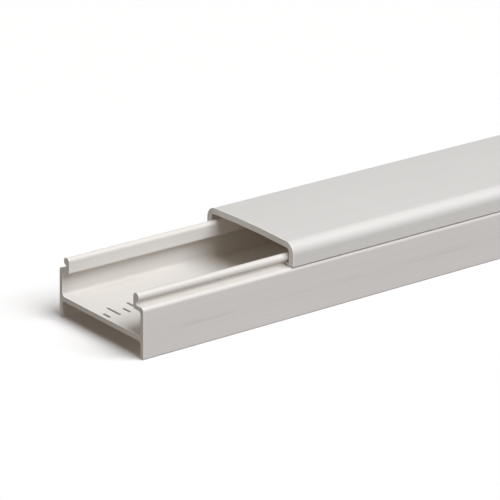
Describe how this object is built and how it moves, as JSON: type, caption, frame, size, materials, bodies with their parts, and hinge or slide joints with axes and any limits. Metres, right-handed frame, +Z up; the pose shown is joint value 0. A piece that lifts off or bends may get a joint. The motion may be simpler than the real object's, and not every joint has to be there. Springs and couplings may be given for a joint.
{
  "type": "cable trunking",
  "caption": "Straight plastic cable trunking: a channel base with a raised floor and beaded clip edges, and a clip-on cover that slides along it to enclose cables.",
  "frame": {"origin": "middle of the overall length and width, on the plane that the feet rest on", "axes": "+X along the length, away from the open front end; +Y across the width; +Z up from the feet to the cover"},
  "size_m": [2.046, 0.035, 0.02],
  "materials": {
    "base_plastic": "satin light grey rigid plastic, slightly warm",
    "cover_plastic": "satin light grey rigid plastic"
  },
  "bodies": {
    "base": {"base": "base_plastic"},
    "cover": {"cover": "cover_plastic"}
  },
  "joints": [
    {"name": "cover_slide", "type": "slide", "parent": "base", "child": "cover", "axis": [1, 0, 0], "range_m": [-0.046, 0.954]}
  ]
}
